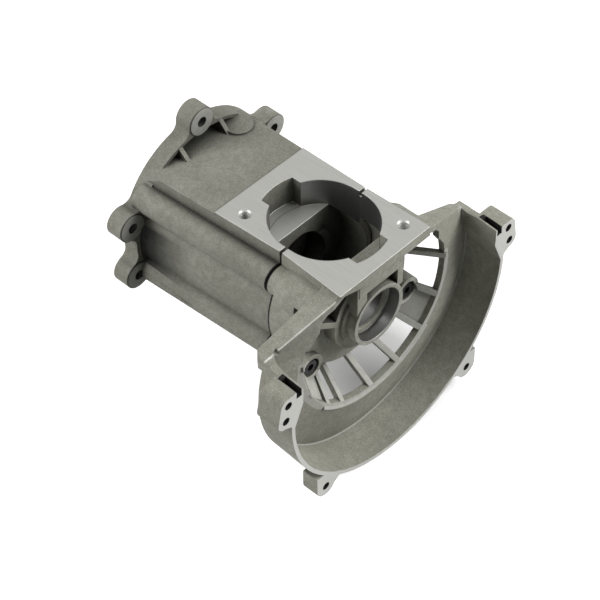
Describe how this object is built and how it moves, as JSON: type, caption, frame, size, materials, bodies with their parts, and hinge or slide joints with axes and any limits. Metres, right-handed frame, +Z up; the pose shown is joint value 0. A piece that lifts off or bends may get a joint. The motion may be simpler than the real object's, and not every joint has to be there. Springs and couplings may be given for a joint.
{
  "type": "engine crankcase",
  "caption": "Die-cast crankcase of a small two-stroke engine: long clutch housing with a gearbox flange, cylinder deck, crankshaft hub and an open ribbed fan bowl.",
  "frame": {"origin": "centre of the gearbox mounting face, on the crankshaft axis", "axes": "+X along the crankshaft towards the fan, +Z up to the cylinder deck, +Y completes the right-handed frame"},
  "size_m": [0.1494, 0.179, 0.1511],
  "materials": {
    "cast_alloy": "as-cast, fine grain",
    "cast_alloy_front": "as-cast, fine grain",
    "black_steel": "black oxide",
    "sleeve_steel": "ground"
  },
  "bodies": {
    "root": {"rear_housing": "cast_alloy", "fan_housing": "cast_alloy_front", "case_screws": "black_steel", "locating_sleeves": "sleeve_steel"}
  },
  "joints": []
}
